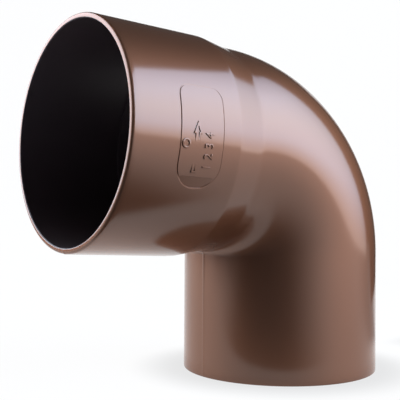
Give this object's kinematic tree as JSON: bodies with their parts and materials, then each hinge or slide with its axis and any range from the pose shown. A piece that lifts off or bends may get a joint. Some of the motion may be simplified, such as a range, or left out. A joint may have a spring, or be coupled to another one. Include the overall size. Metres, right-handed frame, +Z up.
{
  "type": "downspout elbow",
  "caption": "Push-fit downspout elbow that turns rainwater through nearly a right angle, with a plain round spigot below and a wider socket at its side",
  "frame": {"origin": "middle of the spigot's lower rim", "axes": "+Z runs up the spigot's axis, -X is the side that the socket opens to, with its axis 2.5 degrees above level, and the bend lies in the XZ plane"},
  "size_m": [0.1411, 0.0843, 0.1341],
  "materials": {
    "elbow": "metallic copper-brown gloss outside, near-black brown inside"
  },
  "bodies": {
    "root": {"elbow": "elbow"}
  },
  "joints": []
}
